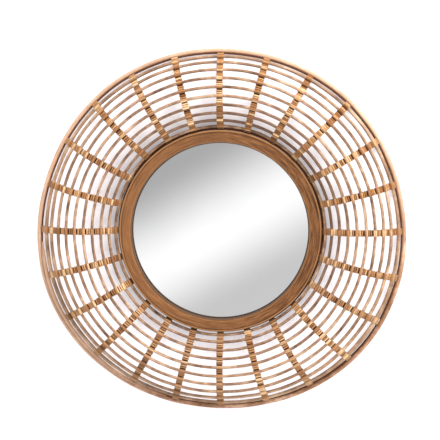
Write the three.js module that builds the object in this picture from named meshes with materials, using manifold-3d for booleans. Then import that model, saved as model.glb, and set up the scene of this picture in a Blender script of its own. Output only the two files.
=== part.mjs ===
// Round wall mirror: a glass set deep inside a wooden ring, in a doughnut-shaped frame of thin rattan
// hoops laid on bound ribs. Millimetres, +Z up. The mirror faces -Y and hangs on a wall at Y = 0.
// The origin is the middle of the wall hanger's flat back, above the mirror's own centre.
import * as THREE from 'three';
import { mergeVertices } from 'three/addons/utils/BufferGeometryUtils.js';
import Module from 'manifold-3d';

const degrees = Math.PI / 180;
const clearance = 0.3; // between pieces that touch

// Frame: its section is an arc that turns from outerSlope at the first hoop to -innerSlope at the last
const frameDiameter = 800; // over the rim hoop
const outerHoopRadius = 384.5;
const innerHoopRadius = 229.6;
const outerSlope = 54 * degrees;
const innerSlope = 50 * degrees;
const hoopCount = 10;
const hoopThickness = 5.8;
const hoopSides = 5;
const rimThickness = 9;
const rimDepth = 6.2; // from the wall to the middle of the rim hoop
const facets = 48; // flats around every turned piece, two to a rib

// Ribs: laths with a raised binding that is notched where a hoop lies; depths are below the hoops' middle
const ribCount = 24;
const ribWidth = 15;
const bindingDepth = 0.5;
const lathFrontDepth = 5;
const lathBackDepth = 7.2;
const bindingEndGap = 1; // bare lath between the binding and the rim hoop
const lathEndDepth = 1; // the lath's tip inside the rim hoop, from the wall
const ribBackSteps = 5;

// Ring, glass and back board; depths are from the wall
const ringOuterRadius = 221.5;
const ringInnerRadius = 193.8;
const ringFrontDepth = 40.5;
const ringEdge = 2; // chamfer on both front edges
const glassThickness = 4;
const glassPlay = 0.5; // around the glass, inside the ring
const boardThickness = 8;
const boardRadius = 218;

// Wall hanger: a toothed strip that stands off the board on two feet
const hangerHeight = 150; // above the mirror's centre
const hangerLength = 70;
const hangerWidth = 16;
const hangerThickness = 1.5;
const hangerStandOff = 3;
const hangerFootLength = 14;
const toothCount = 9;
const toothPitch = 4;
const toothDepth = 3;

// Places that follow from the sizes above
const arcRadius = (outerHoopRadius - innerHoopRadius) / (Math.sin(outerSlope) + Math.sin(innerSlope));
const arcMiddle = outerHoopRadius - arcRadius * Math.sin(outerSlope);
const rimRadius = (frameDiameter - rimThickness) / 2;
const rimSlope = Math.asin((rimRadius - arcMiddle) / arcRadius);
const arcDepth = rimDepth - arcRadius * Math.cos(rimSlope);
const ribEndSlope = Math.acos((lathEndDepth - arcDepth) / (arcRadius - lathBackDepth));
const bindingEndSlope = rimSlope - (rimThickness / 2 + bindingEndGap) / arcRadius;
const boardBackDepth = hangerThickness + hangerStandOff + clearance;
const boardFrontDepth = boardBackDepth + boardThickness;
const glassBackDepth = boardFrontDepth + clearance;
const ringBackDepth = boardFrontDepth + clearance;

// Finishes
const finishes = {
  hoopRattan: { color: 0xa8835a, roughness: 0.6, metalness: 0 },
  boundRattan: { color: 0xb7834c, roughness: 0.55, metalness: 0 },
  rimRattan: { color: 0xbb8d5c, roughness: 0.55, metalness: 0 },
  ringWood: { color: 0xa06c3a, roughness: 0.5, metalness: 0 },
  silveredGlass: { color: 0xd4d7d9, roughness: 0.04, metalness: 1 },
  fibreBoard: { color: 0x8f6f4d, roughness: 0.8, metalness: 0 },
  zincSteel: { color: 0xb5b6b4, roughness: 0.35, metalness: 1 },
};

// A point of the frame's section, as radius and Y, a depth below the arc of the hoops' middles
function sectionPoint(depth, slope) {
  const radius = arcRadius - depth;
  return new THREE.Vector2(arcMiddle + radius * Math.sin(slope), -arcDepth - radius * Math.cos(slope));
}

// The slope at which that same depth reaches a radius
function slopeAtRadius(depth, radius) {
  return Math.asin((radius - arcMiddle) / (arcRadius - depth));
}

// Revolves an anticlockwise profile about Y, with its flats at the stated radii and square to the ribs
function turned(profile) {
  const halfFacet = Math.PI / facets;
  const points = profile.map((point) => new THREE.Vector2(point.x / Math.cos(halfFacet), point.y));
  return new THREE.LatheGeometry(points, facets, halfFacet);
}

// A hoop of round rod, one corner of its section turned to the ribs that carry it
function hoop(slope, thickness) {
  const middle = sectionPoint(0, slope);
  const toRib = sectionPoint(thickness, slope).sub(middle).angle();
  const section = [];
  for (let corner = 0; corner <= hoopSides; corner += 1) {
    const angle = toRib + ((corner % hoopSides) / hoopSides) * 2 * Math.PI;
    const reach = new THREE.Vector2(Math.cos(angle), Math.sin(angle)).multiplyScalar(thickness / 2);
    section.push(reach.add(middle));
  }
  return turned(section);
}

function hoopSlope(index) {
  return outerSlope - (index / (hoopCount - 1)) * (outerSlope + innerSlope);
}

// Side view of a rib: binding blocks with a notch under every hoop, sloped off at both ends of the
// binding, and cut square where it meets the ring
function ribOutline() {
  const notchHalfAngle = ((hoopSides - 2) / hoopSides) * (Math.PI / 2);
  const notchDepth = hoopThickness / 2 + clearance / Math.sin(notchHalfAngle);
  const notchHalfTurn = ((notchDepth - bindingDepth) * Math.tan(notchHalfAngle)) / arcRadius;
  const outline = [
    sectionPoint(lathFrontDepth, ribEndSlope),
    sectionPoint(lathFrontDepth, bindingEndSlope),
    sectionPoint(bindingDepth, bindingEndSlope),
  ];
  for (let index = 0; index < hoopCount; index += 1) {
    const slope = hoopSlope(index);
    if (index > 0) {
      outline.push(sectionPoint(bindingDepth, slope + notchHalfTurn));
    }
    outline.push(sectionPoint(notchDepth, slope));
    if (index < hoopCount - 1) {
      outline.push(sectionPoint(bindingDepth, slope - notchHalfTurn));
    }
  }
  const ringWall = ringOuterRadius + clearance;
  outline.push(sectionPoint(bindingDepth, slopeAtRadius(bindingDepth, ringWall)));
  const innerEnd = slopeAtRadius(lathBackDepth, ringWall);
  const backTurn = (ribEndSlope - innerEnd) / ribBackSteps;
  const backSag = (arcRadius - lathBackDepth) * (1 - Math.cos(backTurn / 2));
  for (let step = 0; step <= ribBackSteps; step += 1) {
    const atEnd = step === 0 || step === ribBackSteps;
    outline.push(sectionPoint(lathBackDepth - (atEnd ? 0 : backSag), innerEnd + step * backTurn));
  }
  return outline;
}

function ribGeometry() {
  const rib = new THREE.ExtrudeGeometry(new THREE.Shape(ribOutline()), {
    depth: ribWidth,
    bevelEnabled: false,
  });
  return rib.translate(0, 0, -ribWidth / 2);
}

function ringGeometry() {
  const edgeDepth = ringFrontDepth - ringEdge;
  const profile = [
    new THREE.Vector2(ringInnerRadius, -ringBackDepth),
    new THREE.Vector2(ringInnerRadius, -edgeDepth),
    new THREE.Vector2(ringInnerRadius + ringEdge, -ringFrontDepth),
    new THREE.Vector2(ringOuterRadius - ringEdge, -ringFrontDepth),
    new THREE.Vector2(ringOuterRadius, -edgeDepth),
    new THREE.Vector2(ringOuterRadius, -ringBackDepth),
  ];
  return turned([...profile, profile[0]]);
}

// A flat disc between two depths
function disc(radius, backDepth, frontDepth) {
  return turned([
    new THREE.Vector2(0, -frontDepth),
    new THREE.Vector2(radius, -frontDepth),
    new THREE.Vector2(radius, -backDepth),
    new THREE.Vector2(0, -backDepth),
  ]);
}

const wasm = await Module();
wasm.setup();

function toSolid(geometry) {
  const bare = geometry.clone();
  bare.deleteAttribute('normal');
  bare.deleteAttribute('uv');
  const merged = mergeVertices(bare);
  const mesh = new wasm.Mesh({
    numProp: 3,
    vertProperties: new Float32Array(merged.attributes.position.array),
    triVerts: new Uint32Array(merged.index.array),
  });
  return new wasm.Manifold(mesh);
}

function toGeometry(solid) {
  const mesh = solid.getMesh();
  const geometry = new THREE.BufferGeometry();
  geometry.setAttribute('position', new THREE.BufferAttribute(new Float32Array(mesh.vertProperties), 3));
  geometry.setIndex(new THREE.BufferAttribute(new Uint32Array(mesh.triVerts), 1));
  geometry.computeVertexNormals();
  return geometry;
}

// The strip's outline, with teeth along the middle of its lower edge
function hangerOutline() {
  const halfLength = hangerLength / 2;
  const lower = -hangerWidth / 2;
  const outline = new THREE.Shape();
  outline.moveTo(halfLength, lower);
  outline.lineTo(halfLength, -lower);
  outline.lineTo(-halfLength, -lower);
  outline.lineTo(-halfLength, lower);
  const firstTooth = (-toothCount * toothPitch) / 2;
  for (let tooth = 0; tooth < toothCount; tooth += 1) {
    const start = firstTooth + tooth * toothPitch;
    outline.lineTo(start, lower);
    outline.lineTo(start + toothPitch / 2, lower + toothDepth);
  }
  outline.lineTo(-firstTooth, lower);
  return outline;
}

function hangerGeometry() {
  const plate = new THREE.ExtrudeGeometry(hangerOutline(), { depth: hangerThickness, bevelEnabled: false });
  plate.rotateX(Math.PI / 2);
  let hanger = toSolid(plate);
  const footDepth = hangerThickness + hangerStandOff;
  for (const side of [-1, 1]) {
    const foot = new THREE.BoxGeometry(hangerFootLength, footDepth, hangerWidth);
    foot.translate((side * (hangerLength - hangerFootLength)) / 2, -footDepth / 2, 0);
    hanger = hanger.add(toSolid(foot));
  }
  return toGeometry(hanger);
}

function named(name, geometry, finish) {
  const mesh = new THREE.Mesh(geometry, new THREE.MeshStandardMaterial(finishes[finish]));
  mesh.name = name;
  return mesh;
}

function numbered(name, index) {
  return `${name}_${String(index + 1).padStart(2, '0')}`;
}

// The mirror about its own centre, set below the hanger that is the origin
const mirror = new THREE.Group();
mirror.position.set(0, 0, -hangerHeight);

mirror.add(named('rim_hoop', hoop(rimSlope, rimThickness), 'rimRattan'));
for (let index = 0; index < hoopCount; index += 1) {
  mirror.add(named(numbered('hoop', index), hoop(hoopSlope(index), hoopThickness), 'hoopRattan'));
}

// The first rib is at the top, and the rest follow clockwise as seen from the front
for (let index = 0; index < ribCount; index += 1) {
  const rib = named(numbered('rib', index), ribGeometry(), 'boundRattan');
  rib.rotation.y = -Math.PI / 2 + (index / ribCount) * 2 * Math.PI;
  mirror.add(rib);
}

const glassRadius = ringInnerRadius - glassPlay;
mirror.add(named('mirror_ring', ringGeometry(), 'ringWood'));
mirror.add(named('mirror_glass', disc(glassRadius, glassBackDepth, glassBackDepth + glassThickness), 'silveredGlass'));
mirror.add(named('back_board', disc(boardRadius, boardBackDepth, boardFrontDepth), 'fibreBoard'));

const wallMirror = new THREE.Group();
wallMirror.add(mirror);
wallMirror.add(named('wall_hanger', hangerGeometry(), 'zincSteel'));

export default wallMirror;
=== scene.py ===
import math
import random
import bpy
import bmesh
from mathutils import Matrix, Vector


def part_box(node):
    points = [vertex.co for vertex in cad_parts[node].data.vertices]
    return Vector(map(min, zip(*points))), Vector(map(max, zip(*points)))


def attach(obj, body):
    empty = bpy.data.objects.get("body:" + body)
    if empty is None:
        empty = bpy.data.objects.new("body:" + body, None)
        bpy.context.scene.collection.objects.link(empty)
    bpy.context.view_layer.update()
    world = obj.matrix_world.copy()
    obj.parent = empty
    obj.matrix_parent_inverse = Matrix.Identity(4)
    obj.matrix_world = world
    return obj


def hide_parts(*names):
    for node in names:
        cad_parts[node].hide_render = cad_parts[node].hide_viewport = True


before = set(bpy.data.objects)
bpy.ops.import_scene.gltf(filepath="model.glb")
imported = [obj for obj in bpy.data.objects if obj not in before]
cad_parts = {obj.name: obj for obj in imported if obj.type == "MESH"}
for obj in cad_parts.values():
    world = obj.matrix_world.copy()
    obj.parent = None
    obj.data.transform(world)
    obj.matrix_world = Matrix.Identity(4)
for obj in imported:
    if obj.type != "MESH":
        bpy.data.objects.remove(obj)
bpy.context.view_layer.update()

# Round rattan wall mirror in metres, facing -Y, with the wall at Y = 0 and the hanger's back at the origin
print("frame loaded:", len(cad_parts), "nodes")

# The frame's section: hoops lie on an arc that leans outwards by outerSlope at the first hoop and inwards
# by innerSlope at the last
frameArc = {
    "outerRadius": 0.3845,
    "innerRadius": 0.2296,
    "outerSlope": math.radians(54),
    "innerSlope": math.radians(50),
    "hoopCount": 10,
    "ribCount": 24,
    "rimRod": 0.009,
    "rimDepth": 0.0062,
}
ringOuter = 0.2215
ringInner = 0.1938
ringLow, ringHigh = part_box("mirror_ring")
rimLow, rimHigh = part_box("rim_hoop")
glassLow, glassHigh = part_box("mirror_glass")
boardLow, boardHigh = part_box("back_board")
hangerLow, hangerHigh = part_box("wall_hanger")
centreHeight = (ringLow.z + ringHigh.z) / 2
hoopStep = (frameArc["outerSlope"] + frameArc["innerSlope"]) / (frameArc["hoopCount"] - 1)
arcRadius = (frameArc["outerRadius"] - frameArc["innerRadius"]) / (
    math.sin(frameArc["outerSlope"]) + math.sin(frameArc["innerSlope"]))
arcMiddle = frameArc["outerRadius"] - arcRadius * math.sin(frameArc["outerSlope"])
rimRadius = (rimHigh.x - rimLow.x) / 2 - frameArc["rimRod"] / 2
rimSlope = math.asin((rimRadius - arcMiddle) / arcRadius)
arcDepth = frameArc["rimDepth"] - arcRadius * math.cos(rimSlope)
perMetre = 1 / arcRadius  # radians of slope to a metre along the arc


def arcPoint(below, slope):  # radius and distance from the wall, a depth below the hoops' middles
    reach = arcRadius - below
    return arcMiddle + reach * math.sin(slope), arcDepth + reach * math.cos(slope)


def hoopSlope(index):
    return frameArc["outerSlope"] - index * hoopStep


# Materials

def tint(red, green, blue):  # a colour as it looks on screen, 0 to 255
    def linear(level):
        level = level / 255
        return level / 12.92 if level <= 0.04045 else ((level + 0.055) / 1.055) ** 2.4
    return (linear(red), linear(green), linear(blue), 1.0)


class Wire:  # a socket in one material, used in sums like a number
    def __init__(self, tree, socket):
        self.tree = tree
        self.socket = socket

    def node(self, kind, settings, inputs, out=0):
        made = self.tree.nodes.new(kind)
        for name, value in settings.items():
            if name == "stops":
                ramp = made.color_ramp.elements
                ramp.remove(ramp[1])
                ramp[0].position = value[0][0]
                ramp[0].color = value[0][1]
                for position, colour in value[1:]:
                    ramp.new(position).color = colour
            else:
                setattr(made, name, value)
        for key, value in inputs.items():
            if isinstance(value, Wire):
                self.tree.links.new(value.socket, made.inputs[key])
            else:
                made.inputs[key].default_value = value
        if isinstance(out, tuple):
            return [Wire(self.tree, made.outputs[index]) for index in out]
        return Wire(self.tree, made.outputs[out]) if len(made.outputs) else None

    def math(self, operation, *values):
        return self.node("ShaderNodeMath", {"operation": operation}, dict(enumerate(values)))

    def __add__(self, other):
        return self.math("ADD", self, other)

    def __radd__(self, other):
        return self.math("ADD", other, self)

    def __sub__(self, other):
        return self.math("SUBTRACT", self, other)

    def __rsub__(self, other):
        return self.math("SUBTRACT", other, self)

    def __mul__(self, other):
        return self.math("MULTIPLY", self, other)

    def __rmul__(self, other):
        return self.math("MULTIPLY", other, self)

    def __truediv__(self, other):
        return self.math("DIVIDE", self, other)

    def __rtruediv__(self, other):
        return self.math("DIVIDE", other, self)

    def sine(self):
        return self.math("SINE", self)

    def cosine(self):
        return self.math("COSINE", self)

    def root(self):
        return self.math("POWER", self, 0.5)

    def between(self, low, high, start=0.0):  # 0 below low, 1 above high, smooth between, counted from start
        return self.node("ShaderNodeMapRange", {"interpolation_type": "SMOOTHSTEP"},
                         {0: self, 1: start + low, 2: start + high})

    def ramp(self, places, colours):
        return self.node("ShaderNodeValToRGB", {"stops": list(zip(places, colours))}, {0: self})

    def mix(self, first, second):  # this value is the share of the second; 6, 7 and 2 are the colour sockets
        return self.node("ShaderNodeMix", {"data_type": "RGBA"}, {0: self, 6: first, 7: second}, out=2)

    def noise(self, scale=1.0, detail=3.0, roughness=0.6):
        return self.node("ShaderNodeTexNoise", {},
                         {"Vector": self, "Scale": scale, "Detail": detail, "Roughness": roughness})

    def scaled(self, x, y, z):
        return self.node("ShaderNodeMapping", {}, {"Vector": self, "Scale": (x, y, z)})

    def combine(self, x, y, z):
        return self.node("ShaderNodeCombineXYZ", {}, {0: x, 1: y, 2: z})

    def bump(self, strength, distance):
        return self.node("ShaderNodeBump", {}, {"Strength": strength, "Distance": distance, "Height": self})


def startFinish(name):  # the material and the point on the piece
    material = bpy.data.materials.new(name)
    material.use_nodes = True
    material.node_tree.nodes.clear()
    coordinates = material.node_tree.nodes.new("ShaderNodeTexCoord")
    return material, Wire(material.node_tree, coordinates.outputs["Object"])


def showShader(shader):
    shader.node("ShaderNodeOutputMaterial", {}, {"Surface": shader})


def endFinish(point, inputs):
    showShader(point.node("ShaderNodeBsdfPrincipled", {}, inputs))


def roundTheMirror(point):  # angle clockwise from the top, radius and distance from the wall
    x, y, z = point.node("ShaderNodeSeparateXYZ", {}, {0: point}, out=(0, 1, 2))
    up = z - centreHeight
    return x.math("ARCTAN2", x, up), (x * x + up * up).root(), 0 - y


# A pattern that closes on itself round the mirror. A grain is the size of the circle that its noise is
# read on, its scale outwards and forwards, and its detail
def ringNoise(point, grain):
    circle, outwards, forwards, detail = grain
    angle, radius, depth = roundTheMirror(point)
    onCircle = (angle.sine() * circle, angle.cosine() * circle)
    place = point.combine(*onCircle, radius * outwards + depth * forwards)
    return place.noise(1.0, detail)


# Bent cane: painted shade darkens the hoops towards the ring, most at the upper right, and a painted
# highlight makes the rim paler except at the lower right and the outer hoops a little paler
hoopLook = {
    "colours": (tint(80, 57, 44), tint(133, 103, 81), tint(182, 153, 127)),
    "paintedRingShade": tint(78, 54, 43),
    "outerShare": 0.12,
    "highlightShare": 0.05,
}
rimLook = {
    "colours": (tint(108, 73, 51), tint(152, 112, 85), tint(200, 165, 140)),
    "paintedRingShade": tint(108, 73, 51),
    "outerShare": 0.0,
    "highlightShare": 0.6,
}
rodLook = {
    "tones": (0.36, 0.50, 0.64),
    "stretch": (7, 60, 25, 3.0),
    "fibre": (14, 1100, 900, 3.0),
    "patch": (36, 90, 70, 2.0),
    "shadeStart": (0.009, 0.019),
    "shadeEnd": (0.02, 0.08),
    "shadeAngle": 0.7,
    "shadeShare": 0.48,
    "shadeSwing": 0.42,
    "highlightBand": (0.335, 0.385),
    "paintedShadeAngle": 2.65,
    "paintedShadeBand": (0.2, 0.8),
}


def rodFinish(name, look):
    material, point = startFinish(name)
    angle, radius = roundTheMirror(point)[:2]
    stretch = ringNoise(point, rodLook["stretch"])
    fibre = ringNoise(point, rodLook["fibre"])
    patch = ringNoise(point, rodLook["patch"])
    tone = stretch * 0.58 + fibre * 0.2 + patch * 0.22
    colour = tone.ramp(rodLook["tones"], look["colours"])
    # Painted shade: hoops darken towards the ring, most at the upper right
    nearRingShade = radius.between(*rodLook["shadeStart"], ringOuter)
    nearRingShade = nearRingShade - radius.between(*rodLook["shadeEnd"], ringOuter)
    shade = (angle - rodLook["shadeAngle"]).cosine() * rodLook["shadeSwing"] + rodLook["shadeShare"]
    colour = (nearRingShade * shade).mix(colour, look["paintedRingShade"])
    # Painted highlight: the rim and outer hoops turn paler, except at the lower right
    shaded = (angle - rodLook["paintedShadeAngle"]).cosine().between(*rodLook["paintedShadeBand"])
    paintedHighlight = radius.between(*rodLook["highlightBand"]) * ((1 - shaded) * look["highlightShare"] + look["outerShare"])
    colour = paintedHighlight.mix(colour, look["colours"][2])
    endFinish(point, {
        "Base Color": colour,
        "Roughness": 0.66 - fibre * 0.22,
        "Normal": (fibre * 0.7 + patch * 0.3).bump(0.35, 0.0005),
        "Specular IOR Level": 0.25,
    })
    return material


# Peel: brown, tan, honey and cream by the turn and along each rib, and some ribs are greyer
peelLook = {
    "colours": (tint(75, 41, 18), tint(130, 85, 48), tint(166, 121, 79), tint(212, 180, 141)),
    "tones": (0.08, 0.36, 0.62, 0.88),
    "fibre": (20, 1500, 1200, 3.0),
    "cloud": (50, 60, 50, 2.0),
    "turnSpread": 97,
    "ribSpread": 7.3,
    "stretchScale": 34,
    "grey": tint(135, 102, 76),
    "greySpread": 0.37,
    "greyBand": (0.42, 0.66),
    "greyShare": 0.45,
}


def peelFinish():
    material, point = startFinish("wound_peel")
    angle, radius = roundTheMirror(point)[:2]
    ribCount = frameArc["ribCount"]
    ribPlace = angle * (ribCount / (2 * math.pi)) + (ribCount + 0.5)
    ribNumber = point.math("MODULO", point.math("FLOOR", ribPlace), ribCount)
    island = point.node("ShaderNodeNewGeometry", {}, {}, out="Random Per Island")
    turn = point.node("ShaderNodeTexWhiteNoise", {"noise_dimensions": "2D"},
                      {"Vector": point.combine(island * peelLook["turnSpread"], ribNumber, 0.0)})
    fibre = ringNoise(point, peelLook["fibre"])
    cloud = ringNoise(point, peelLook["cloud"])
    stretchPlace = point.combine(ribNumber * peelLook["ribSpread"], radius * peelLook["stretchScale"], 0.5)
    stretch = stretchPlace.noise(1.0, 2.0, 0.5)
    tone = turn * 0.54 + fibre * 0.3 + cloud * 0.3 + stretch * 0.56 - 0.31
    colour = tone.ramp(peelLook["tones"], peelLook["colours"])
    ribTone = point.combine(ribNumber * peelLook["greySpread"], 4.7, 1.3).noise(1.0, 1.0, 0.5)
    greyer = ribTone.between(*peelLook["greyBand"]) * peelLook["greyShare"]
    endFinish(point, {
        "Base Color": greyer.mix(colour, peelLook["grey"]),
        "Roughness": 0.52 - turn * 0.12 + fibre * 0.1,
        "Normal": (fibre + cloud * 0.4).bump(0.3, 0.0004),
        "Specular IOR Level": 0.3,
    })
    return material


# Laths and the dark canes along rim and ring. The laths' brown is darkened as painted shade in the slits
# between turns, the dark canes are painted shade for the gaps beside rim and ring, and both are made paler
# at the lower left as painted light
lathAndShadeLook = {
    "colours": (tint(40, 22, 11), tint(62, 36, 19), tint(88, 55, 31)),
    "paintedLightLowerLeft": tint(76, 46, 26),
}
shadeCaneLook = {
    "colours": (tint(58, 32, 18), tint(86, 50, 30), tint(116, 73, 46)),
    "paintedLightLowerLeft": tint(178, 134, 100),
}
splitLook = {
    "tones": (0.32, 0.55, 0.75),
    "grain": (300, 14, 300, 4.0),
    "paintedLightStart": (-2.55, -2.25),
    "paintedLightEnd": (-1.85, -1.6),
    "paintedLightShare": 0.7,
}


def splitCaneFinish(name, look):
    material, point = startFinish(name)
    angle = roundTheMirror(point)[0]
    grain = ringNoise(point, splitLook["grain"])
    colour = grain.ramp(splitLook["tones"], look["colours"])
    # Painted light: paler at the lower left
    paintedLightMask = angle.between(*splitLook["paintedLightStart"]) - angle.between(*splitLook["paintedLightEnd"])
    colour = (paintedLightMask * splitLook["paintedLightShare"]).mix(colour, look["paintedLightLowerLeft"])
    endFinish(point, {
        "Base Color": colour,
        "Roughness": 0.66 + grain * 0.2,
        "Normal": grain.bump(0.3, 0.0004),
        "Specular IOR Level": 0.2,
    })
    return material


# Ring: streaked along its bend and paler along both beads, with painted shade in the groove, on its walls
# and on its inner lip, and painted light on its left side. Bands are measured from the outer or the inner
# wall, and behind from the wall that the mirror hangs on
ringLook = {
    "colours": (tint(59, 34, 17), tint(88, 54, 28), tint(128, 86, 51)),
    "tones": (0.40, 0.49, 0.58),
    "streak": (5, 620, 400, 4.0),
    "grain": (9, 1200, 1000, 3.0),
    "patch": (3, 40, 40, 2.0),
    "paintedLightLeftShare": 0.42,
    "edge": tint(158, 115, 75),
    "outerStrip": (-0.0040, -0.0030),
    "outerShare": 0.4,
    "innerStrip": (0.0046, 0.0056),
    "innerShare": 0.25,
    "wall": tint(30, 18, 12),
    "groove": (-0.0072, -0.0055),
    "grooveShadeShare": 0.32,
    "behind": (0.0325, 0.0350),
    "innerWallShade": tint(78, 60, 48),
    "innerLipShade": (0.0014, 0.0024),
    "wallShadeShare": 0.85,
}


def ringFinish():
    material, point = startFinish("ring_bent_wood")
    angle, radius, depth = roundTheMirror(point)
    streak = ringNoise(point, ringLook["streak"])
    grain = ringNoise(point, ringLook["grain"])
    patch = ringNoise(point, ringLook["patch"])
    tone = streak * 0.5 + grain * 0.4 + patch * 0.1
    colour = tone.ramp(ringLook["tones"], ringLook["colours"])
    # Painted light: the ring's left side is paler
    paintedLightOnLeft = 0.5 - angle.sine() * 0.5
    colour = (paintedLightOnLeft * ringLook["paintedLightLeftShare"]).mix(colour, ringLook["colours"][2])
    outerStrip = radius.between(*ringLook["outerStrip"], ringOuter)
    groove = radius.between(*ringLook["groove"], ringOuter) - outerStrip
    innerStrip = 1 - radius.between(*ringLook["innerStrip"], ringInner)
    innerLipShade = 1 - radius.between(*ringLook["innerLipShade"], ringInner)
    behind = 1 - depth.between(*ringLook["behind"])
    # The beads are paler
    paleBeads = outerStrip * ringLook["outerShare"] + innerStrip * ringLook["innerShare"]
    colour = paleBeads.mix(colour, ringLook["edge"])
    # Painted shade: darker in the groove, on the side walls further back and on the inner lip
    colour = (groove * ringLook["grooveShadeShare"]).mix(colour, ringLook["wall"])
    colour = (behind * ringLook["wallShadeShare"]).mix(colour, ringLook["wall"])
    colour = (innerLipShade * ringLook["wallShadeShare"]).mix(colour, ringLook["innerWallShade"])
    endFinish(point, {
        "Base Color": colour,
        "Roughness": 0.58 - grain * 0.16,
        "Normal": (streak * 0.6 + grain * 0.5).bump(0.35, 0.0008),
        "Specular IOR Level": 0.25,
    })
    return material


glassLook = {
    "colours": ((0.91, 0.91, 0.912, 1), (0.935, 0.935, 0.937, 1)),
    "tones": (0.3, 0.7),
    "hazeScale": 9.0,
}


def glassFinish():
    material, point = startFinish("silvered_glass")
    haze = point.noise(glassLook["hazeScale"])
    endFinish(point, {
        "Base Color": haze.ramp(glassLook["tones"], glassLook["colours"]),
        "Metallic": 1.0,
        "Roughness": 0.012 + haze * 0.012,
    })
    return material


boardLook = {
    "colours": (tint(112, 82, 54), tint(144, 110, 76), tint(172, 138, 100)),
    "tones": (0.3, 0.5, 0.72),
    "fleckScale": 950.0,
    "cloudScale": 14.0,
    "scuff": tint(186, 158, 124),
    "scuffScale": (18.0, 18.0, 160.0),
    "scuffBand": (0.62, 0.75),
    "scuffShare": 0.25,
}


def boardFinish():
    material, point = startFinish("pressed_fibre_board")
    fleck = point.noise(boardLook["fleckScale"], roughness=0.7)
    cloud = point.noise(boardLook["cloudScale"])
    scuff = point.scaled(*boardLook["scuffScale"]).noise()
    colour = (fleck * 0.6 + cloud * 0.4).ramp(boardLook["tones"], boardLook["colours"])
    scuffed = scuff.between(*boardLook["scuffBand"]) * boardLook["scuffShare"]
    endFinish(point, {
        "Base Color": scuffed.mix(colour, boardLook["scuff"]),
        "Roughness": 0.78 + fleck * 0.15,
        "Normal": (fleck + cloud * 0.3).bump(0.22, 0.0004),
    })
    return material


zincLook = {
    "colours": (tint(150, 152, 152), tint(196, 196, 192)),
    "tones": (0.2, 0.7),
    "spangleScale": 420.0,
    "brushScale": (60.0, 900.0, 900.0),
}


def zincFinish():
    material, point = startFinish("zinc_plate")
    spangle = point.node("ShaderNodeTexVoronoi", {}, {"Vector": point, "Scale": zincLook["spangleScale"]})
    brushed = point.scaled(*zincLook["brushScale"]).noise()
    endFinish(point, {
        "Base Color": (spangle * 0.5 + brushed * 0.5).ramp(zincLook["tones"], zincLook["colours"]),
        "Metallic": 1.0,
        "Roughness": 0.30 + brushed * 0.2,
        "Normal": brushed.bump(0.15, 0.0002),
    })
    return material


hoopRattan = rodFinish("hoop_rattan", hoopLook)
rimRattan = rodFinish("rim_rattan", rimLook)
woundPeel = peelFinish()
lathWoodAndShade = splitCaneFinish("lath_wood_and_shade", lathAndShadeLook)
shadeCane = splitCaneFinish("dark_cane_painted_shade", shadeCaneLook)
ringWood = ringFinish()
silveredGlass = glassFinish()
fibreBoard = boardFinish()
zincPlate = zincFinish()
print("materials made:", len(bpy.data.materials))


# Shared steps for every piece

def keepPiece(name, bm, materials, nodes, crease):
    bmesh.ops.recalc_face_normals(bm, faces=bm.faces)
    for edge in bm.edges:
        edge.smooth = len(edge.link_faces) == 2 and edge.calc_face_angle() < math.radians(crease)
    for face in bm.faces:
        face.smooth = True
    mesh = bpy.data.meshes.new(name)
    bm.to_mesh(mesh)
    bm.free()
    for material in materials:
        mesh.materials.append(material)
    piece = bpy.data.objects.new(name, mesh)
    bpy.context.scene.collection.objects.link(piece)
    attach(piece, "root")
    if nodes:
        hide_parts(*nodes)


def sweep(bm, geom, angle, steps, centre=(0, 0, 0), axis=(0, 1, 0), closed=False):
    bmesh.ops.spin(bm, geom=geom, cent=centre, axis=axis, dvec=(0, 0, 0), angle=angle, steps=steps,
                   use_merge=closed, use_duplicate=False)


def turnProfile(bm, points, steps):  # radius and distance from the wall, turned about the mirror's middle
    corners = [bm.verts.new((radius, -depth, 0)) for radius, depth in points]
    edges = [bm.edges.new(pair) for pair in zip(corners, corners[1:] + corners[:1])]
    sweep(bm, corners + edges, 2 * math.pi, steps, closed=True)
    bmesh.ops.remove_doubles(bm, verts=bm.verts, dist=1e-6)


def roundEdges(bm, edges, offset):
    bmesh.ops.bevel(bm, geom=edges, offset=offset, offset_type="OFFSET", segments=2, profile=0.5,
                    affect="EDGES", clamp_overlap=True, material=-1)


upright = Matrix.Rotation(math.pi / 2, 4, "X")  # stands what lies flat up against the wall


def liftToMiddle(bm):
    bmesh.ops.translate(bm, verts=bm.verts, vec=(0, 0, centreHeight))


def finishNewFaces(bm, oldFaces, index):  # faces made since oldFaces was kept get another material
    for face in set(bm.faces) - oldFaces:
        face.material_index = index


# Hand-bent, so no true circle. The rim's shape is waves round the mirror, each with its count and its cosine
# and sine heights in mm; ripples have their count, height and start. Angles run clockwise from the top
bendSet = {
    "rimShape": [(0, 3.8, 0.0), (1, -2.1, 0.8), (2, -4.2, -0.5), (3, 2.8, 0.3), (4, -1.7, -0.7),
                 (5, -0.9, -0.6)],
    "rimPower": 12,  # how fast the rim's shape fades towards the hoops
    "hoopShare": 0.3,  # of the rim's shape, taken on by the hoops
    "hoopsIn": 0.0020,
    "hoopsRight": 0.0016,
    "ripple": 0.0004,
    "outRipples": [(5, 1.0, 0.8), (7, 0.7, 2.1)],
    "forwardRipples": [(4, 1.0, 1.1)],
    "sway": 0.0006,
}


def waveOut(wave, angle):
    count, cosine, sine = wave
    return 0.001 * (cosine * math.cos(count * angle) + sine * math.sin(count * angle))


def rippleHeight(ripples, angle):
    heights = [height * math.sin(count * angle + start) for count, height, start in ripples]
    return bendSet["ripple"] * sum(heights)


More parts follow.
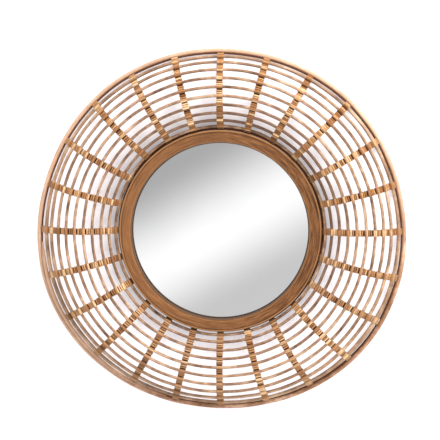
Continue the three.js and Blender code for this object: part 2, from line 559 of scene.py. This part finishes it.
def handmadeBend(bm, seed=None, isRim=False):  # with a seed, a cane also sways between the ribs
    ribCount = frameArc["ribCount"]
    sways = []
    if seed is not None:
        rng = random.Random(seed)
        sways = [(rng.uniform(-1, 1), rng.uniform(-1, 1)) for gap in range(ribCount)]
    for vert in bm.verts:
        x = vert.co.x
        up = vert.co.z - centreHeight
        radius = math.hypot(x, up)
        angle = math.atan2(x, up)
        share = 1 if isRim else min(1, max(0, (radius - ringOuter) / (rimRadius - ringOuter)))
        atRim = share ** bendSet["rimPower"]
        inHoops = bendSet["hoopShare"] * share + (1 - bendSet["hoopShare"]) * atRim
        out = share * rippleHeight(bendSet["outRipples"], angle)
        out += (share - atRim) * (bendSet["hoopsRight"] * math.sin(angle) - bendSet["hoopsIn"])
        for wave in bendSet["rimShape"]:
            out += (inHoops if wave[0] > 1 else atRim) * waveOut(wave, angle)
        forward = share * rippleHeight(bendSet["forwardRipples"], angle)
        if sways:
            gap = angle * ribCount / (2 * math.pi)
            sideways, lift = sways[math.floor(gap) % ribCount]
            sway = bendSet["sway"] * math.sin(math.pi * (gap - math.floor(gap))) ** 2
            out += sway * sideways
            forward += sway * lift
        vert.co.x += out * math.sin(angle)
        vert.co.z += out * math.cos(angle)
        vert.co.y -= forward


# Rim and hoops: bent canes. The rim is a pole with a thinner dark cane along its inside, and a flat dark
# cane ties the ribs' inner ends from behind; both dark canes are painted shade for the gaps there
rodSet = {
    "hoopRod": 0.0065,
    "hoopSides": 12,
    "hoopSeed": 20,
    "steps": 288,
    "crease": 60,
    "rimWide": 0.0094,
    "rimDeep": 0.0090,
    "rimSides": 16,
    "rimSeed": 7,
    "linerRod": 0.0034,
    "linerSides": 10,
    "linerForward": 0.0016,
    "linerOverlap": 0.0002,
    "tieRadius": 0.2227,
    "tieDepth": 0.0036,
    "tieWide": 0.0082,
    "tieDeep": 0.0028,
    "tieSides": 12,
    # The first hoop has slid along the ribs: waves as in the rim's shape
    "firstHoop": [(0, -1.1, 0.0), (1, 0.0, 2.0), (2, -0.2, -0.3)],
}


def spinRod(bm, radius, depth, wide, deep, sides):
    section = []
    for side in range(sides):
        turn = 2 * math.pi * side / sides
        section.append((radius + wide / 2 * math.cos(turn), depth + deep / 2 * math.sin(turn)))
    turnProfile(bm, section, rodSet["steps"])


def hoopSlide(index, angle):  # how far outwards of its place a hoop lies
    return sum(waveOut(wave, angle) for wave in rodSet["firstHoop"]) if index == 0 else 0


def bendHoop(index):
    bm = bmesh.new()
    slope = hoopSlope(index)
    radius, depth = arcPoint(0, slope)
    spinRod(bm, radius, depth, rodSet["hoopRod"], rodSet["hoopRod"], rodSet["hoopSides"])
    for vert in bm.verts:
        angle = math.atan2(vert.co.x, vert.co.z)
        out = hoopSlide(index, angle)
        vert.co += Vector((out * math.sin(angle), out * math.tan(slope), out * math.cos(angle)))
    liftToMiddle(bm)
    handmadeBend(bm, rodSet["hoopSeed"] + index)
    number = "%02d" % (index + 1)
    keepPiece("rattan_hoop_" + number, bm, [hoopRattan], ["hoop_" + number], rodSet["crease"])


def bendRim():
    bm = bmesh.new()
    outside = rimRadius + frameArc["rimRod"] / 2
    depth = frameArc["rimDepth"]
    wide = rodSet["rimWide"]
    liner = rodSet["linerRod"]
    spinRod(bm, outside - wide / 2, depth, wide, rodSet["rimDeep"], rodSet["rimSides"])
    poleFaces = set(bm.faces)
    linerRadius = outside - wide - liner / 2 + rodSet["linerOverlap"]
    spinRod(bm, linerRadius, depth + rodSet["linerForward"], liner, liner, rodSet["linerSides"])
    finishNewFaces(bm, poleFaces, 1)
    liftToMiddle(bm)
    handmadeBend(bm, rodSet["rimSeed"], isRim=True)
    keepPiece("rattan_rim", bm, [rimRattan, shadeCane], ["rim_hoop"], rodSet["crease"])


def bendTie():
    bm = bmesh.new()
    spinRod(bm, rodSet["tieRadius"], rodSet["tieDepth"], rodSet["tieWide"], rodSet["tieDeep"],
            rodSet["tieSides"])
    liftToMiddle(bm)
    keepPiece("tie_cane", bm, [shadeCane], [], rodSet["crease"])


# A length of cane with thin ends lies between rim and first hoop at the lower left
lapSet = {
    "slope": math.radians(60),
    "rod": 0.0054,
    "sides": 12,
    "start": math.radians(198),
    "span": math.radians(68),
    "taper": math.radians(6),
    "tip": 0.35,
    "steps": 68,
    "seed": 31,
}


def bendLap():
    bm = bmesh.new()
    radius, depth = arcPoint(0, lapSet["slope"])
    place = Matrix.Translation((0, -depth, radius)) @ Matrix.Rotation(math.pi / 2, 4, "Y")
    place = Matrix.Rotation(lapSet["start"], 4, "Y") @ place
    bmesh.ops.create_circle(bm, cap_ends=True, segments=lapSet["sides"], radius=lapSet["rod"] / 2,
                            matrix=place)
    sweep(bm, bm.verts[:] + bm.edges[:] + bm.faces[:], lapSet["span"], lapSet["steps"])
    for vert in bm.verts:
        angle = math.atan2(vert.co.x, vert.co.z) % (2 * math.pi)
        along = angle - lapSet["start"]
        fromEnd = max(0, min(along, lapSet["span"] - along) / lapSet["taper"])
        middle = Vector((radius * math.sin(angle), -depth, radius * math.cos(angle)))
        vert.co = middle + (vert.co - middle) * min(1, lapSet["tip"] + (1 - lapSet["tip"]) * fromEnd)
    liftToMiddle(bm)
    handmadeBend(bm, lapSet["seed"])
    keepPiece("lap_cane", bm, [rimRattan], [], rodSet["crease"])


bendRim()
bendTie()
bendLap()
for index in range(frameArc["hoopCount"]):
    bendHoop(index)
print("rim and hoops bent:", frameArc["hoopCount"] + 1)

# Ribs: a lath bound with turns of peel, which also lash the hoops, with a bare slit inside every hoop.
# A bare tongue of the lath runs on behind the rim. Depths are below the hoops' middles
ribSet = {
    "width": 0.0152,
    "back": 0.0072,
    "shoulder": 0.92,
    "bevel": 0.0008,
    "skew": 2.0,
    "rimGap": 0.0056,
    "ringGap": 0.0004,
    "slit": 0.0022,
    "turnTop": 0.0004,
    "turnWidth": 0.0044,
    "turnGap": 0.0013,
    "rise": 0.0012,  # of the last turn before a hoop
    "lashTop": -0.0038,
    "lashWidth": 0.0040,
    "lashGap": 0.0008,
    "lashSlant": 0.0014,
    "lathWidth": 0.0128,
    "lathFront": 0.0030,
    "lathBack": 0.0067,
    "lathSteps": 28,
    "lathRingGap": 0.0006,
    "tongueFront": 0.0050,
    "tongueSteps": 3,
    "tipDepth": 0.001,  # from the wall
    "crease": 50,
    "seed": 300,
    # How much the turns differ
    "topVaries": 0.00015,
    "ribWidthVaries": (0.97, 1.02),
    "turnWidthVaries": (0.95, 1.02),
    "lashWidthVaries": (0.96, 1.02),
}


def arcTurn(slope):  # carries what is modelled at the arc's crown round to a slope
    return Matrix.Translation((0, -arcDepth, arcMiddle)) @ Matrix.Rotation(-slope, 4, "X")


def windTurn(bm, slope, width, top, slant, rng):  # slant lowers one edge of the turn's front
    top = top + rng.uniform(-ribSet["topVaries"], ribSet["topVaries"])
    size = (ribSet["width"] * rng.uniform(*ribSet["ribWidthVaries"]), ribSet["back"] - top, width, 1)
    verts = bmesh.ops.create_cube(bm, size=1, matrix=Matrix.Diagonal(size))["verts"]
    for vert in verts:
        if vert.co.y < 0:
            vert.co.x *= ribSet["shoulder"]
            if vert.co.z * slant > 0:
                vert.co.y += abs(slant)
    skew = math.radians(rng.uniform(-1, 1) * ribSet["skew"])
    lift = Matrix.Translation((0, (ribSet["back"] + top) / 2 - arcRadius, 0))
    bmesh.ops.transform(bm, matrix=arcTurn(slope) @ lift @ Matrix.Rotation(skew, 4, "Y"), verts=verts)


def lashHoop(bm, slope, rng):  # two turns over a hoop
    for side in (-1, 1):
        place = slope + side * ribSet["lashWidth"] / 2 * perMetre
        width = (ribSet["lashWidth"] - ribSet["lashGap"]) * rng.uniform(*ribSet["lashWidthVaries"])
        windTurn(bm, place, width, ribSet["lashTop"], side * ribSet["lashSlant"], rng)


def windGap(bm, high, low, lastRise, rng):  # turns from one slope down to another
    count = max(1, round((high - low) * arcRadius / ribSet["turnWidth"]))
    pitch = (high - low) / count
    for number in range(count):
        width = (pitch * arcRadius - ribSet["turnGap"]) * rng.uniform(*ribSet["turnWidthVaries"])
        top = ribSet["turnTop"] - (lastRise if number == count - 1 else 0)
        windTurn(bm, high - (number + 0.5) * pitch, width, top, 0, rng)


def sweepLath(bm, front, startSlope, endSlope, steps):
    half = ribSet["lathWidth"] / 2
    back = ribSet["lathBack"]
    corners = []
    for x, below in ((-half, front), (half, front), (half, back), (-half, back)):
        radius, depth = arcPoint(below, startSlope)
        corners.append(bm.verts.new((x, -depth, radius)))
    face = bm.faces.new(corners)
    sweep(bm, [face] + list(face.edges) + corners, startSlope - endSlope, steps,
          centre=(0, -arcDepth, arcMiddle), axis=(1, 0, 0))


def slopeAtRing(gap, below):  # where a depth below the hoops' middles comes that near to the ring
    return math.asin((ringOuter + gap - arcMiddle) / (arcRadius - below))


def bindRib(index):
    rng = random.Random(ribSet["seed"] + index)
    bm = bmesh.new()
    ribAngle = 2 * math.pi * index / frameArc["ribCount"]
    hoops = []
    for number in range(frameArc["hoopCount"]):
        slope = hoopSlope(number)
        hoops.append(slope + hoopSlide(number, ribAngle) * perMetre / math.cos(slope))
    for slope in hoops:
        lashHoop(bm, slope, rng)
    outerEnd = rimSlope - ribSet["rimGap"] * perMetre
    high = outerEnd
    for slope in hoops:
        windGap(bm, high, slope + ribSet["lashWidth"] * perMetre, ribSet["rise"], rng)
        high = slope - (ribSet["lashWidth"] + ribSet["slit"]) * perMetre
    windGap(bm, high, slopeAtRing(ribSet["ringGap"], ribSet["turnTop"]), 0, rng)
    roundEdges(bm, bm.edges[:], ribSet["bevel"])
    turnFaces = set(bm.faces)
    innerLath = slopeAtRing(ribSet["lathRingGap"], ribSet["lathFront"])
    tip = math.acos((ribSet["tipDepth"] - arcDepth) / (arcRadius - ribSet["lathBack"]))
    sweepLath(bm, ribSet["lathFront"], outerEnd, innerLath, ribSet["lathSteps"])
    sweepLath(bm, ribSet["tongueFront"], tip, outerEnd, ribSet["tongueSteps"])
    # The lath's dark colour is partly painted shade for the slits between turns
    finishNewFaces(bm, turnFaces, 1)
    bmesh.ops.transform(bm, matrix=Matrix.Rotation(ribAngle, 4, "Y"), verts=bm.verts)
    liftToMiddle(bm)
    handmadeBend(bm)
    number = "%02d" % (index + 1)
    keepPiece("bound_rib_" + number, bm, [woundPeel, lathWoodAndShade], ["rib_" + number],
              ribSet["crease"])


for index in range(frameArc["ribCount"]):
    bindRib(index)
print("ribs bound:", frameArc["ribCount"])

# Ring around the glass: inset from the outer wall and drop from the front, with a bead along both edges
ringSet = {
    "steps": 240,
    "crease": 50,
    "face": [(0.0000, 0.0030), (0.0003, 0.0014), (0.0010, 0.0004), (0.0020, 0.0001), (0.0032, 0.0004),
             (0.0040, 0.0014), (0.0045, 0.0015), (0.0052, 0.0005), (0.0085, 0.0006), (0.0135, 0.0012),
             (0.0190, 0.0020), (0.0228, 0.0027), (0.0240, 0.0033), (0.0246, 0.0041), (0.0249, 0.0040),
             (0.0256, 0.0031), (0.0265, 0.0030), (0.0273, 0.0037), (0.0277, 0.0050)],
}


def turnRing():
    bm = bmesh.new()
    front = -ringLow.y
    back = -ringHigh.y
    points = [(ringOuter, back)]
    points += [(ringOuter - inset, front - drop) for inset, drop in ringSet["face"]]
    points.append((ringInner, back))
    turnProfile(bm, points, ringSet["steps"])
    liftToMiddle(bm)
    keepPiece("bent_wood_ring", bm, [ringWood], ["mirror_ring"], ringSet["crease"])


# Glass and board: discs with a bevelled edge, and a small crease angle so that flat faces stay flat
discSet = {
    "segments": 192,
    "glassBevel": 0.0012,
    "boardBevel": 0.0010,
    "sharp": math.radians(60),
    "crease": 10,
}


def cutDisc(name, low, high, bevel, material, node):
    bm = bmesh.new()
    radius = (high.x - low.x) / 2
    bmesh.ops.create_cone(bm, cap_ends=True, cap_tris=False, segments=discSet["segments"], radius1=radius,
                          radius2=radius, depth=high.y - low.y)
    rims = [edge for edge in bm.edges if edge.calc_face_angle() > discSet["sharp"]]
    roundEdges(bm, rims, bevel)
    middle = Matrix.Translation((0, (low.y + high.y) / 2, centreHeight))
    bmesh.ops.transform(bm, matrix=middle @ upright, verts=bm.verts)
    keepPiece(name, bm, [material], [node], discSet["crease"])


turnRing()
cutDisc("mirror_disc", glassLow, glassHigh, discSet["glassBevel"], silveredGlass,
        "mirror_glass")
cutDisc("fibre_board_disc", boardLow, boardHigh, discSet["boardBevel"], fibreBoard,
        "back_board")
print("ring, glass and board turned")

# Hanger: a toothed strip whose ends step down to the board
hangerSet = {
    "plate": 0.0015,
    "foot": 0.013,
    "step": 0.004,
    "teeth": 9,
    "toothPitch": 0.004,
    "toothDepth": 0.003,
    "bevel": 0.0003,
    "sharp": math.radians(69),
    "crease": 35,
}
hangerHalf = (hangerHigh.x - hangerLow.x) / 2
hangerStand = -hangerLow.y - hangerSet["plate"]


def pressHanger():
    bm = bmesh.new()
    low = hangerLow.z
    pitch = hangerSet["toothPitch"]
    first = -hangerSet["teeth"] * pitch / 2
    stepEnd = hangerHalf - hangerSet["foot"]
    stepStart = stepEnd - hangerSet["step"]
    lower = [(-hangerHalf, low), (-stepEnd, low), (-stepStart, low)]
    for tooth in range(hangerSet["teeth"]):
        start = first + tooth * pitch
        lower += [(start, low), (start + pitch / 2, low + hangerSet["toothDepth"])]
    lower += [(-first, low), (stepStart, low), (stepEnd, low), (hangerHalf, low)]
    bottom = [bm.verts.new((x, 0, z)) for x, z in lower]
    upper = [bm.verts.new((x, 0, hangerHigh.z)) for x, z in lower]
    for left in range(len(lower) - 1):
        bm.faces.new((bottom[left], bottom[left + 1], upper[left + 1], upper[left]))
    made = bmesh.ops.extrude_face_region(bm, geom=bm.faces[:])
    moved = [item for item in made["geom"] if isinstance(item, bmesh.types.BMVert)]
    bmesh.ops.translate(bm, verts=moved, vec=(0, -hangerSet["plate"], 0))
    feet = [vert for vert in bm.verts if abs(vert.co.x) > stepEnd - 1e-6]
    bmesh.ops.translate(bm, verts=feet, vec=(0, -hangerStand, 0))
    bmesh.ops.recalc_face_normals(bm, faces=bm.faces)
    ends = [edge for edge in bm.edges if abs(edge.verts[0].co.x) > stepStart - 1e-6]
    sharp = [edge for edge in ends if edge.calc_face_angle() > hangerSet["sharp"]]
    roundEdges(bm, sharp, hangerSet["bevel"])
    keepPiece("toothed_hanger", bm, [zincPlate], ["wall_hanger"], hangerSet["crease"])


# Screws in the hanger's feet and round the board: round heads with a crossed slot, a dark bar of painted
# shade, facing the wall.
# Taper, bevel and slot are shares of the head's radius or height
screwSet = {
    "radius": 0.0034,
    "sides": 24,
    "taper": 0.72,
    "bevel": 0.18,
    "slotLength": 1.15,
    "slotWidth": 0.22,
    "slotDepth": 0.4,
    "slotRaise": 0.34,
    "footHeight": 0.0018,
    "footTurn": 0.4,
    "boardHeight": 0.0016,
    "boardTurn": 1.7,
    "boardCount": 8,
    "boardCircle": 0.2085,
    "crease": 35,
}


def facesAt(verts):
    return {face for vert in verts for face in vert.link_faces}


def driveScrew(bm, x, depth, z, height, turn):
    radius = screwSet["radius"]
    place = Matrix.Translation((x, -depth, z)) @ Matrix.Rotation(-math.pi / 2, 4, "X")
    place = place @ Matrix.Rotation(turn, 4, "Z") @ Matrix.Translation((0, 0, height / 2))
    head = bmesh.ops.create_cone(bm, cap_ends=True, cap_tris=False, segments=screwSet["sides"],
                                 radius1=radius, radius2=radius * screwSet["taper"], depth=height,
                                 matrix=place)
    caps = [face for face in facesAt(head["verts"]) if len(face.verts) == screwSet["sides"]]
    top = max(caps, key=lambda face: face.calc_center_median().y)
    roundEdges(bm, list(top.edges), radius * screwSet["bevel"])
    size = Matrix.Diagonal((radius * screwSet["slotLength"], radius * screwSet["slotWidth"],
                            height * screwSet["slotDepth"], 1))
    raised = Matrix.Translation((0, 0, height * screwSet["slotRaise"]))
    # The crossed slot is a dark bar in the lath colour: painted shade for a cut slot
    for quarter in (0, math.pi / 2):
        barPlace = place @ raised @ Matrix.Rotation(quarter, 4, "Z") @ size
        bar = bmesh.ops.create_cube(bm, size=1, matrix=barPlace)
        for face in facesAt(bar["verts"]):
            face.material_index = 1


def driveScrews():
    bm = bmesh.new()
    footMiddle = hangerHalf - hangerSet["foot"] / 2
    hangerMiddle = (hangerLow.z + hangerHigh.z) / 2
    for side in (-1, 1):
        driveScrew(bm, side * footMiddle, hangerStand, hangerMiddle, screwSet["footHeight"],
                   screwSet["footTurn"] + side)
    for number in range(screwSet["boardCount"]):
        angle = 2 * math.pi * (number + 0.5) / screwSet["boardCount"]
        x = screwSet["boardCircle"] * math.sin(angle)
        z = screwSet["boardCircle"] * math.cos(angle) + centreHeight
        driveScrew(bm, x, -boardHigh.y, z, screwSet["boardHeight"], number * screwSet["boardTurn"])
    keepPiece("screw_heads", bm, [zincPlate, lathWoodAndShade], [], screwSet["crease"])


pressHanger()
driveScrews()
print("hanger pressed and screws driven")

# Camera: far off, a little to the right of the mirror and above it
cameraSet = {
    "azimuth": math.radians(3.4),
    "elevation": math.radians(5.8),
    "distance": 4.6,
    "frameWidth": 0.9610,
    "sensorWidth": 36,
    "aimRight": -0.0002,
    "aimUp": 0.0248,
    "middleDepth": 0.035,
}
levelReach = math.cos(cameraSet["elevation"])
toCamera = Vector((math.sin(cameraSet["azimuth"]) * levelReach, -math.cos(cameraSet["azimuth"]) * levelReach,
                   math.sin(cameraSet["elevation"])))
mirrorMiddle = Vector((0, -cameraSet["middleDepth"], centreHeight))
aim = mirrorMiddle + Vector((cameraSet["aimRight"], 0, cameraSet["aimUp"]))
cameraData = bpy.data.cameras.new("photo_camera")
cameraData.sensor_width = cameraSet["sensorWidth"]
cameraData.lens = cameraSet["sensorWidth"] * cameraSet["distance"] / cameraSet["frameWidth"]
camera = bpy.data.objects.new("photo_camera", cameraData)
camera.location = aim + toCamera * cameraSet["distance"]
camera.rotation_euler = (-toCamera).to_track_quat("-Z", "Y").to_euler()
bpy.context.scene.collection.objects.link(camera)
bpy.context.scene.camera = camera


# Stage: a pale floor, a white wall that shows only from the front, and a card that shows only in the glass

def stagePlane(name, size, place, material):
    bm = bmesh.new()
    bmesh.ops.create_grid(bm, x_segments=1, y_segments=1, size=size / 2, matrix=place)
    mesh = bpy.data.meshes.new(name)
    bm.to_mesh(mesh)
    bm.free()
    mesh.materials.append(material)
    plane = bpy.data.objects.new(name, mesh)
    bpy.context.scene.collection.objects.link(plane)
    return plane


floorSet = {
    "height": -1.45,
    "size": 40,
    "grainScale": 40.0,
    "tones": (0.3, 0.7),
    "colours": ((0.66, 0.66, 0.655, 1), (0.69, 0.69, 0.685, 1)),
}


def floorFinish():
    material, point = startFinish("pale_floor")
    grain = point.noise(floorSet["grainScale"], roughness=0.5)
    endFinish(point, {"Base Color": grain.ramp(floorSet["tones"], floorSet["colours"]), "Roughness": 0.8})
    return material


# The wall's paint is darker behind the ring as a painted shadow; it glows as painted light further out, and
# at the bottom close to the ring too
wallSet = {
    "gap": 0.003,
    "size": 3.2,
    "levels": (0.47, 0.66),
    "greenShare": 0.96,
    "paintedShadeBand": (0.228, 0.252),
    "farBand": (0.23, 0.36),
    "farGlow": 0.42,
    "nearGlow": 0.06,
    "belowGlow": 0.34,
    "glowColours": ((0, 0, 0, 1), (1, 0.955, 1, 1)),
}


def wallFinish():
    material, point = startFinish("white_wall")
    angle, radius = roundTheMirror(point)[:2]
    shaded, white = [(level, level * wallSet["greenShare"], level, 1) for level in wallSet["levels"]]
    # Painted shadow: the paint is darker behind the ring
    paintWithShadow = radius.between(*wallSet["paintedShadeBand"]).mix(shaded, white)
    paint = point.node("ShaderNodeBsdfDiffuse", {}, {"Color": paintWithShadow})
    # Painted light: the wall glows, least near the ring at the top and most further out
    below = 0.5 - angle.cosine() * 0.5
    near = below * wallSet["belowGlow"] + wallSet["nearGlow"]
    far = radius.between(*wallSet["farBand"])
    glow = (far * wallSet["farGlow"] + (1 - far) * near).ramp((0, 1), wallSet["glowColours"])
    light = point.node("ShaderNodeEmission", {}, {"Color": glow})
    lit = point.node("ShaderNodeAddShader", {}, {0: paint, 1: light})
    clear = point.node("ShaderNodeBsdfTransparent", {}, {})
    fromBehind = point.node("ShaderNodeNewGeometry", {}, {}, out="Backfacing")
    showShader(point.node("ShaderNodeMixShader", {}, {0: fromBehind, 1: lit, 2: clear}))
    return material


# As seen in the glass the card is grey at the lower right, white across the middle and a darker grey at the
# upper left. Rise and fall are metres on the glass from its middle
cardSet = {
    "distance": 1.6,
    "size": 6.0,
    "fade": (2.0, 2.9),
    "lean": math.radians(120),
    "rise": (-0.152, -0.008),
    "fall": (-0.008, 0.172),
    "lower": tint(202, 202, 202),
    "middle": tint(260, 260, 260),
    "upper": tint(173, 173, 173),
    "strength": 1.06,
}
glassFront = Vector((0, glassLow.y, centreHeight))
bounce = Vector((-toCamera.x, toCamera.y, -toCamera.z))  # the way that the camera's view leaves the glass
cardMiddle = glassFront + bounce * (cardSet["distance"] / abs(bounce.y))
cardScale = 1 + cardSet["distance"] / (cameraSet["distance"] * abs(toCamera.y))


def cardFinish():
    material, point = startFinish("reflected_card")
    x, z = point.node("ShaderNodeSeparateXYZ", {}, {0: point}, out=(0, 2))
    sideways = x - cardMiddle.x
    upwards = z - cardMiddle.z
    across = (sideways * math.cos(cardSet["lean"]) + upwards * math.sin(cardSet["lean"])) / cardScale
    glow = across.between(*cardSet["rise"]).mix(cardSet["lower"], cardSet["middle"])
    glow = across.between(*cardSet["fall"]).mix(glow, cardSet["upper"])
    light = point.node("ShaderNodeEmission", {}, {"Color": glow, "Strength": cardSet["strength"]})
    fade = (sideways * sideways + upwards * upwards).root().between(*cardSet["fade"])
    clear = point.node("ShaderNodeBsdfTransparent", {}, {})
    showShader(point.node("ShaderNodeMixShader", {}, {0: fade, 1: light, 2: clear}))
    return material


stagePlane("floor", floorSet["size"], Matrix.Translation((0, 0, floorSet["height"])), floorFinish())
wallPlace = Matrix.Translation((0, wallSet["gap"], 0)) @ upright
wall = stagePlane("wall", wallSet["size"], wallPlace, wallFinish())
wall.visible_glossy = False
wall.visible_diffuse = False
card = stagePlane("reflected_card", cardSet["size"], Matrix.Translation(cardMiddle) @ upright, cardFinish())
card.visible_camera = False
card.visible_diffuse = False
card.visible_transmission = False
card.visible_shadow = False


def softLight(name, place, size, power, colour):
    data = bpy.data.lights.new(name, "AREA")
    data.shape = "DISK"
    data.size = size
    data.energy = power
    data.color = colour
    light = bpy.data.objects.new(name, data)
    light.location = place
    light.rotation_euler = (Vector(place) - mirrorMiddle).to_track_quat("Z", "Y").to_euler()
    light.visible_glossy = False
    bpy.context.scene.collection.objects.link(light)


softLight("key_light", place=(0.8, -2.1, 2.6), size=1.8, power=190, colour=(1.0, 0.97, 0.93))
softLight("right_light", place=(2.8, -1.3, 0.3), size=1.0, power=60, colour=(1.0, 0.98, 0.95))
softLight("left_fill", place=(-2.0, -2.0, -0.9), size=1.5, power=14, colour=(1.0, 0.97, 0.93))

world = bpy.data.worlds.new("studio")
world.use_nodes = True
world.node_tree.nodes["Background"].inputs["Color"].default_value = (1, 1, 1, 1)
world.node_tree.nodes["Background"].inputs["Strength"].default_value = 1.0
bpy.context.scene.world = world
bpy.context.scene.view_settings.view_transform = "Standard"
print("stage set")
